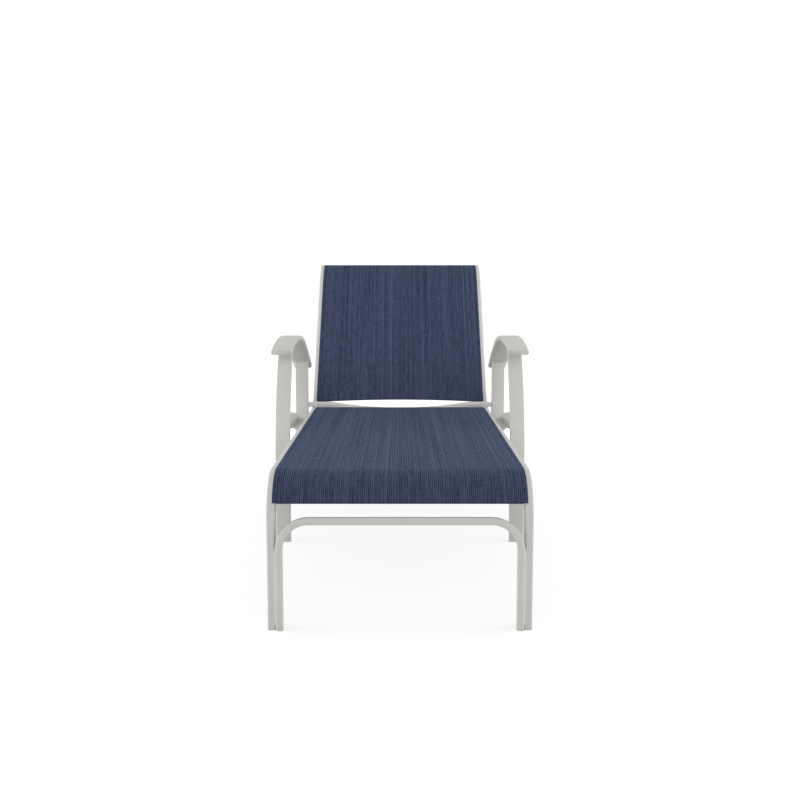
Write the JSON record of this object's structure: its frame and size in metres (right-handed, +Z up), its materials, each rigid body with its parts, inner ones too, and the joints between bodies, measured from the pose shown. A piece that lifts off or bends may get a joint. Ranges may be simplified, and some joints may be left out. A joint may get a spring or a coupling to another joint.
{
  "type": "chaise lounge",
  "caption": "Outdoor chaise lounge with a woven sling seat and back on a painted tube frame, arched arms, and a reclining back propped by a bail in notched racks.",
  "frame": {"origin": "on the floor, in the middle of the outline", "axes": "+Z up, -Y towards the front (the foot end), +X to the right as seen from the front"},
  "size_m": [0.7524, 1.6674, 0.8289],
  "materials": {
    "frame_paint": "satin powder coat",
    "sling_cloth": "woven, matt",
    "plastic": "matt",
    "steel": "zinc plated"
  },
  "bodies": {
    "frame": {"seat_rail_left": "frame_paint", "seat_rail_right": "frame_paint", "seat_front_tube": "frame_paint", "seat_mid_tube": "frame_paint", "hinge_tube": "frame_paint", "front_brace": "frame_paint", "seat_sling": "sling_cloth", "seat_splines": "plastic", "seat_knuckle_left": "frame_paint", "seat_knuckle_right": "frame_paint", "arm_left": "frame_paint", "arm_right": "frame_paint", "arm_caps": "plastic", "front_post_left": "frame_paint", "front_post_right": "frame_paint", "rear_post_left": "frame_paint", "rear_post_right": "frame_paint", "rear_leg_left": "frame_paint", "rear_leg_right": "frame_paint", "rear_leg_tube": "frame_paint", "rack_left": "frame_paint", "rack_right": "frame_paint", "seat_spacers": "frame_paint", "seat_bolts": "steel", "seat_nuts": "steel", "hinge_spacers": "frame_paint", "hinge_studs": "steel", "hinge_inserts": "steel", "leg_glides": "plastic", "brace_glides": "plastic", "post_glides": "plastic", "rear_leg_glides": "plastic"},
    "back": {"back_rail_left": "frame_paint", "back_rail_right": "frame_paint", "back_top_tube": "frame_paint", "back_lower_tube": "frame_paint", "back_sling": "sling_cloth", "back_splines": "plastic", "back_knuckle_left": "frame_paint", "back_knuckle_right": "frame_paint", "hinge_bushes": "plastic", "back_caps": "plastic", "bail_pins": "steel", "bail_washers": "plastic"},
    "bail": {"bail": "frame_paint", "bail_sleeves": "plastic"}
  },
  "joints": [
    {"name": "back_hinge", "type": "hinge", "parent": "frame", "child": "back", "pos_m": [0, 0.3721, 0.358], "axis": [1, 0, 0], "range_deg": [-50, 12]},
    {"name": "bail_swing", "type": "hinge", "parent": "back", "child": "bail", "pos_m": [0, 0.50406, 0.45614], "axis": [1, 0, 0], "range_deg": [-19.2, 79.5]}
  ],
  "couplings": [
    {"joint": "bail_swing", "follows": "back_hinge", "ratio": -1.58}
  ]
}
